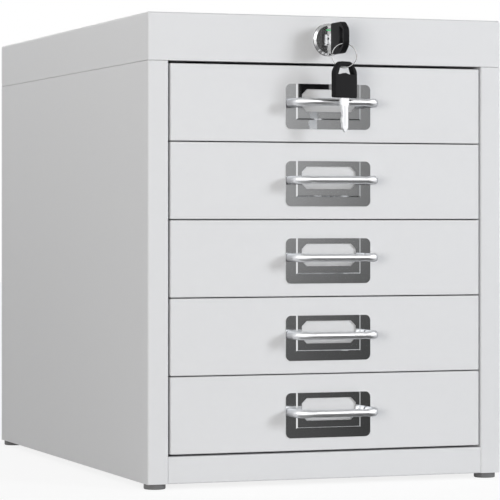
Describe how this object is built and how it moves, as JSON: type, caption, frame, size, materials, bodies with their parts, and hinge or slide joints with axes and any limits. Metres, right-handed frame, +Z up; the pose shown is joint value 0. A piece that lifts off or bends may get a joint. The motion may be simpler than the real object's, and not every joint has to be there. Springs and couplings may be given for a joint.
{
  "type": "drawer cabinet",
  "caption": "Small grey sheet-steel desktop cabinet with a stack of lockable drawers, wire pulls on label plates, and a lock with keys on a ring.",
  "frame": {"origin": "on the plane that the feet stand on, under the middle of the whole part, key and pulls included; the middle of the steel body is 18.55 mm behind it", "axes": "+Z up, -Y towards the user, who faces the drawer fronts, +X to the user's right"},
  "size_m": [0.28, 0.4587, 0.346],
  "materials": {
    "grey_paint": "satin",
    "chrome": "polished",
    "zinc_steel": "satin",
    "card": "matte",
    "black_plastic": "matte",
    "dark_rubber": "matte",
    "green_mark": "satin"
  },
  "bodies": {
    "cabinet": {"top_cover": "grey_paint", "side_panel_left": "grey_paint", "side_panel_right": "grey_paint", "back_panel": "grey_paint", "base_panel": "grey_paint", "bottom_rail": "grey_paint", "runner_rack_left": "zinc_steel", "runner_rack_right": "zinc_steel", "feet": "dark_rubber", "foot_screws": "zinc_steel", "lock_housing": "chrome", "lock_nut": "zinc_steel", "rod_bracket": "zinc_steel", "lock_bar_guides": "zinc_steel"},
    "lock_plug": {"lock_plug": "chrome", "lock_mark": "green_mark", "lock_rod": "zinc_steel", "lock_crank": "zinc_steel"},
    "lock_bar": {"lock_bar": "zinc_steel", "lock_fingers": "zinc_steel"},
    "key": {"key_head": "black_plastic", "key_blade": "zinc_steel"},
    "key_ring": {"key_ring": "chrome"},
    "spare_key": {"spare_head": "black_plastic", "spare_blade": "zinc_steel"},
    "drawer_1": {"drawer_front_1": "grey_paint", "drawer_tray_1": "grey_paint", "drawer_catch_1": "zinc_steel", "label_plate_1": "chrome", "label_card_1": "card", "handle_1": "chrome", "handle_nuts_1": "zinc_steel"},
    "drawer_2": {"drawer_front_2": "grey_paint", "drawer_tray_2": "grey_paint", "drawer_catch_2": "zinc_steel", "label_plate_2": "chrome", "label_card_2": "card", "handle_2": "chrome", "handle_nuts_2": "zinc_steel"},
    "drawer_3": {"drawer_front_3": "grey_paint", "drawer_tray_3": "grey_paint", "drawer_catch_3": "zinc_steel", "label_plate_3": "chrome", "label_card_3": "card", "handle_3": "chrome", "handle_nuts_3": "zinc_steel"},
    "drawer_4": {"drawer_front_4": "grey_paint", "drawer_tray_4": "grey_paint", "drawer_catch_4": "zinc_steel", "label_plate_4": "chrome", "label_card_4": "card", "handle_4": "chrome", "handle_nuts_4": "zinc_steel"},
    "drawer_5": {"drawer_front_5": "grey_paint", "drawer_tray_5": "grey_paint", "drawer_catch_5": "zinc_steel", "label_plate_5": "chrome", "label_card_5": "card", "handle_5": "chrome", "handle_nuts_5": "zinc_steel"}
  },
  "joints": [
    {"name": "drawer_1_slide", "type": "slide", "parent": "cabinet", "child": "drawer_1", "axis": [0, -1, 0], "range_m": [0, 0.315]},
    {"name": "drawer_2_slide", "type": "slide", "parent": "cabinet", "child": "drawer_2", "axis": [0, -1, 0], "range_m": [0, 0.315]},
    {"name": "drawer_3_slide", "type": "slide", "parent": "cabinet", "child": "drawer_3", "axis": [0, -1, 0], "range_m": [0, 0.315]},
    {"name": "drawer_4_slide", "type": "slide", "parent": "cabinet", "child": "drawer_4", "axis": [0, -1, 0], "range_m": [0, 0.315]},
    {"name": "drawer_5_slide", "type": "slide", "parent": "cabinet", "child": "drawer_5", "axis": [0, -1, 0], "range_m": [0, 0.315]},
    {"name": "lock_turn", "type": "hinge", "parent": "cabinet", "child": "lock_plug", "pos_m": [0, -0.19145, 0.3285], "axis": [0, -1, 0], "range_deg": [0, 90]},
    {"name": "lock_bar_slide", "type": "slide", "parent": "cabinet", "child": "lock_bar", "axis": [0, 0, 1], "range_m": [0, 0.01273]},
    {"name": "key_pull", "type": "slide", "parent": "lock_plug", "child": "key", "axis": [0, -1, 0], "range_m": [0, 0.03]},
    {"name": "ring_hang", "type": "hinge", "parent": "key", "child": "key_ring", "pos_m": [0, -0.22365, 0.3209], "axis": [0, -1, 0], "range_deg": [-90, 0]},
    {"name": "spare_swing", "type": "hinge", "parent": "key_ring", "child": "spare_key", "pos_m": [0, -0.22365, 0.30616], "axis": [-0.9397, 0.342, 0], "range_deg": [-6, 45]}
  ],
  "couplings": [
    {"joint": "lock_turn", "follows": "lock_bar_slide", "rad_per_m": 123.41},
    {"joint": "ring_hang", "follows": "lock_bar_slide", "rad_per_m": -123.41}
  ]
}
